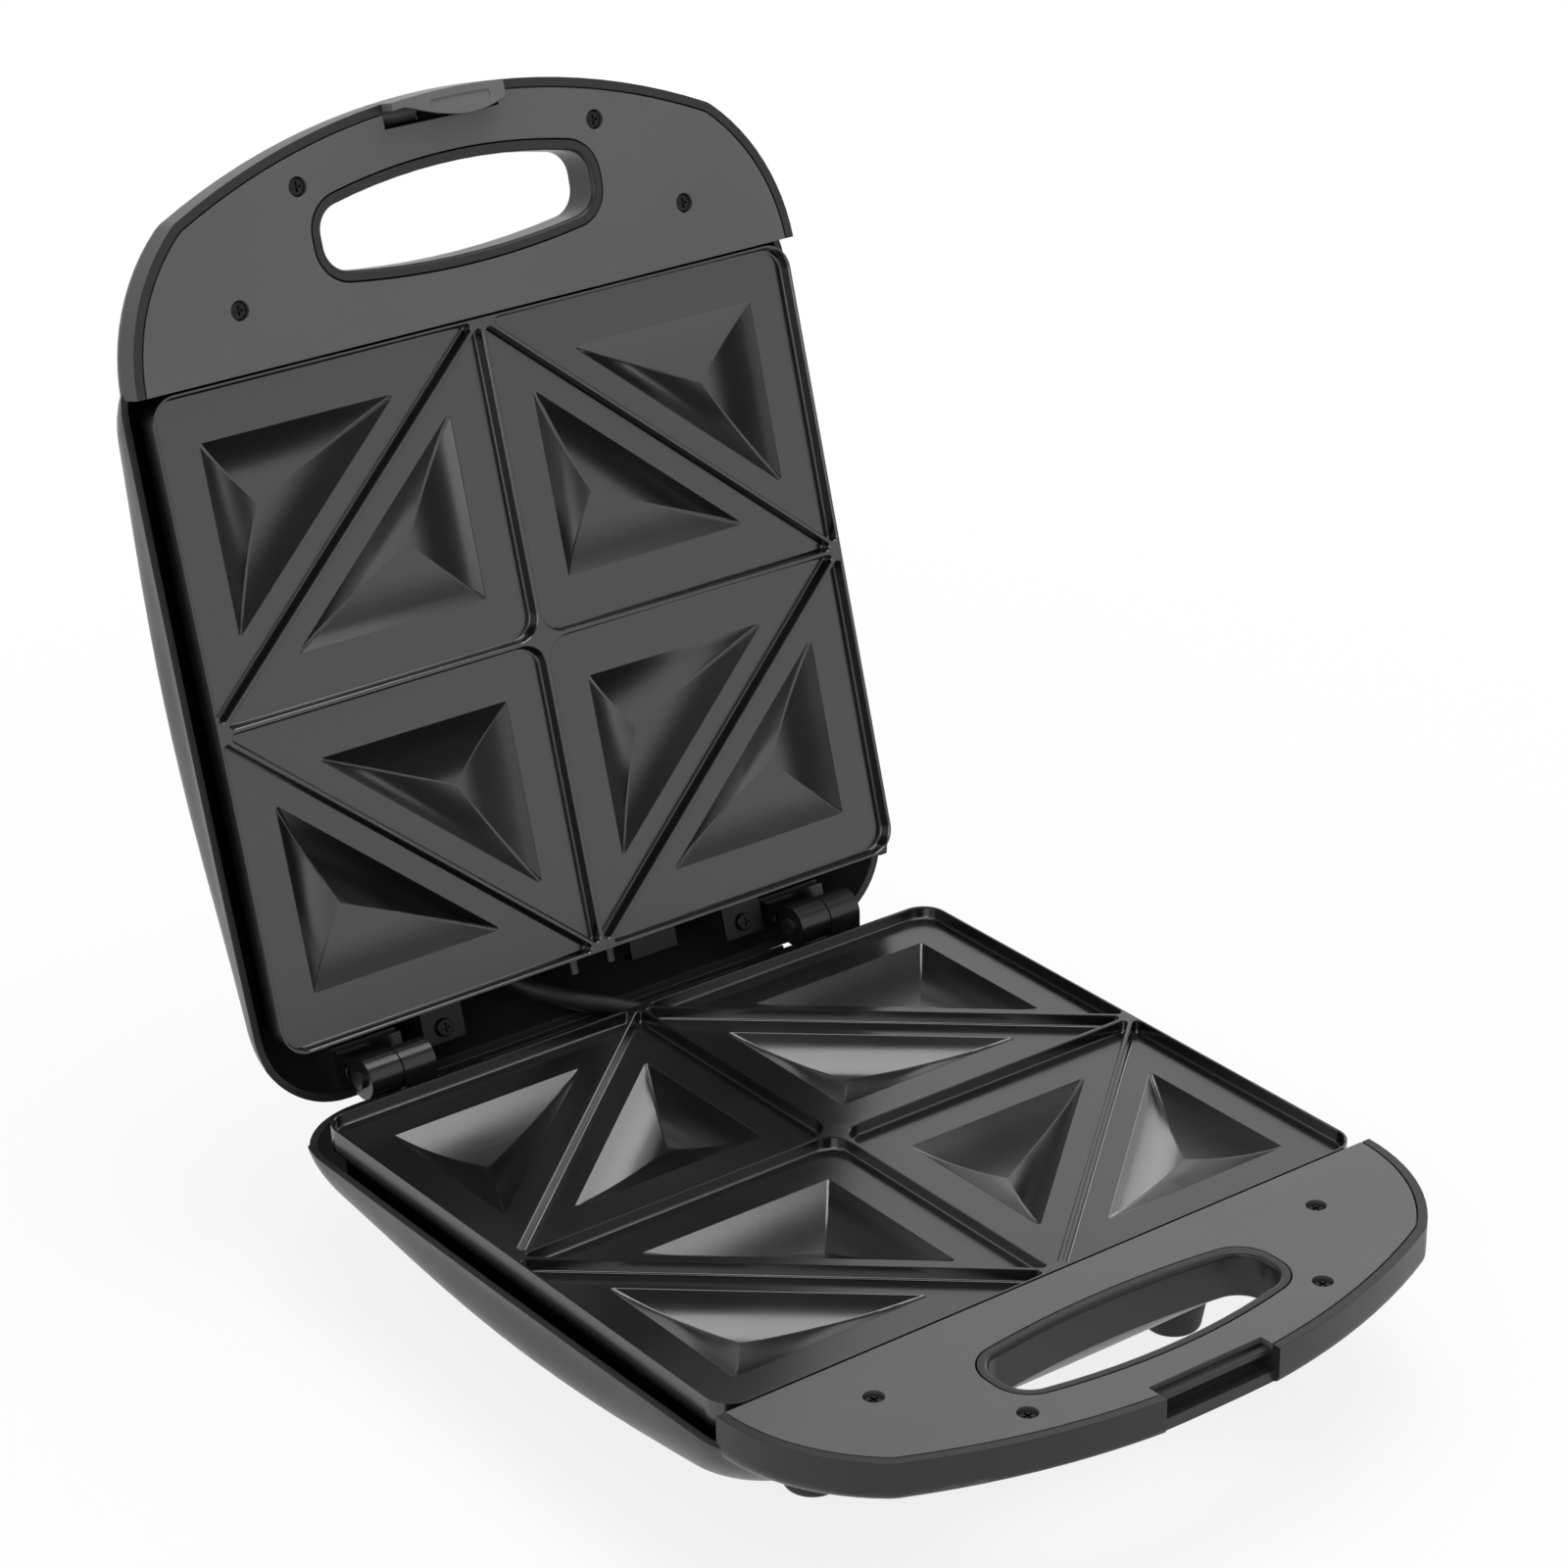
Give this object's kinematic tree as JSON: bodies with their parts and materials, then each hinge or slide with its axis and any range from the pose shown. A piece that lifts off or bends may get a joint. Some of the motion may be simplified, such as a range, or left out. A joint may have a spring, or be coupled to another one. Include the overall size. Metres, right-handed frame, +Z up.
{
  "type": "sandwich toaster",
  "caption": "Hinged sandwich toaster: ribbed non-stick plates with triangular pockets in curved plastic halves, each with a loop handle, closed by a spring latch.",
  "frame": {"origin": "on the table, under the middle of the outline of the object as it stands open", "axes": "+Z up; +Y from the handle of the lower half to the hinge; X along the hinge, +X to the right as seen from the handle"},
  "size_m": [0.2616, 0.4066, 0.3565],
  "materials": {
    "housing_plastic": "dark grey moulded plastic, satin gloss",
    "cover_plastic": "dark grey moulded plastic, even satin",
    "nonstick_plate": "cast aluminium with a dark grey non-stick coat",
    "element_sheath": "heat-darkened steel sheath",
    "pan_steel": "thin coated steel sheet",
    "sensor_metal": "steel sensor cup",
    "terminal_plastic": "heat-proof connector block",
    "screw_steel": "blackened steel",
    "bracket_paint": "black coated steel, satin",
    "pin_steel": "black coated steel",
    "foot_rubber": "black rubber",
    "latch_plastic": "mid grey moulded plastic, satin",
    "spring_steel": "bright wire",
    "gland_rubber": "black rubber",
    "sleeve_rubber": "black heat-proof sleeve",
    "red_lens": "clear red",
    "green_lens": "clear green"
  },
  "bodies": {
    "base": {"cord_gland": "gland_rubber", "foot_left_1": "foot_rubber", "foot_left_2": "foot_rubber", "foot_right_1": "foot_rubber", "foot_right_2": "foot_rubber", "hinge_pin_1": "pin_steel", "hinge_pin_2": "pin_steel", "lower_bracket_screw_1": "screw_steel", "lower_bracket_screw_2": "screw_steel", "lower_bracket_screw_3": "screw_steel", "lower_bracket_screw_4": "screw_steel", "lower_cooking_plate": "nonstick_plate", "lower_cover_screw_1": "screw_steel", "lower_cover_screw_2": "screw_steel", "lower_cover_screw_3": "screw_steel", "lower_cover_screw_4": "screw_steel", "lower_handle_cover": "cover_plastic", "lower_heating_element": "element_sheath", "lower_hinge_bracket_1": "bracket_paint", "lower_hinge_bracket_2": "bracket_paint", "lower_housing": "housing_plastic", "lower_pan_screw_1": "screw_steel", "lower_pan_screw_2": "screw_steel", "lower_plate_screw_1": "screw_steel", "lower_plate_screw_2": "screw_steel", "lower_plate_screw_3": "screw_steel", "lower_plate_screw_4": "screw_steel", "lower_reflector_pan": "pan_steel", "lower_terminal_block": "terminal_plastic", "lower_thermostat": "sensor_metal", "wire_sleeve": "sleeve_rubber"},
    "lid": {"latch_pin": "spring_steel", "latch_spring": "spring_steel", "power_lamp": "red_lens", "ready_lamp": "green_lens", "upper_bracket_screw_1": "screw_steel", "upper_bracket_screw_2": "screw_steel", "upper_bracket_screw_3": "screw_steel", "upper_bracket_screw_4": "screw_steel", "upper_cooking_plate": "nonstick_plate", "upper_cover_screw_1": "screw_steel", "upper_cover_screw_2": "screw_steel", "upper_cover_screw_3": "screw_steel", "upper_cover_screw_4": "screw_steel", "upper_handle_cover": "cover_plastic", "upper_heating_element": "element_sheath", "upper_hinge_bracket_1": "bracket_paint", "upper_hinge_bracket_2": "bracket_paint", "upper_housing": "housing_plastic", "upper_pan_screw_1": "screw_steel", "upper_pan_screw_2": "screw_steel", "upper_plate_screw_1": "screw_steel", "upper_plate_screw_2": "screw_steel", "upper_plate_screw_3": "screw_steel", "upper_plate_screw_4": "screw_steel", "upper_reflector_pan": "pan_steel", "upper_terminal_block": "terminal_plastic", "upper_thermostat": "sensor_metal"},
    "latch": {"latch": "latch_plastic"}
  },
  "joints": [
    {"name": "lid_hinge", "type": "hinge", "parent": "base", "child": "lid", "pos_m": [0, 0.10195, 0.0608], "axis": [1, 0, 0], "range_deg": [0, 105.9], "deforming": ["wire_sleeve"]},
    {"name": "latch_release", "type": "hinge", "parent": "lid", "child": "latch", "pos_m": [0, 0.19274, 0.34739], "axis": [-1, 0, 0], "range_deg": [0, 20], "stiffness_Nm_per_rad": 0.05, "springref_deg": -28.65, "deforming": ["latch_spring"]}
  ]
}
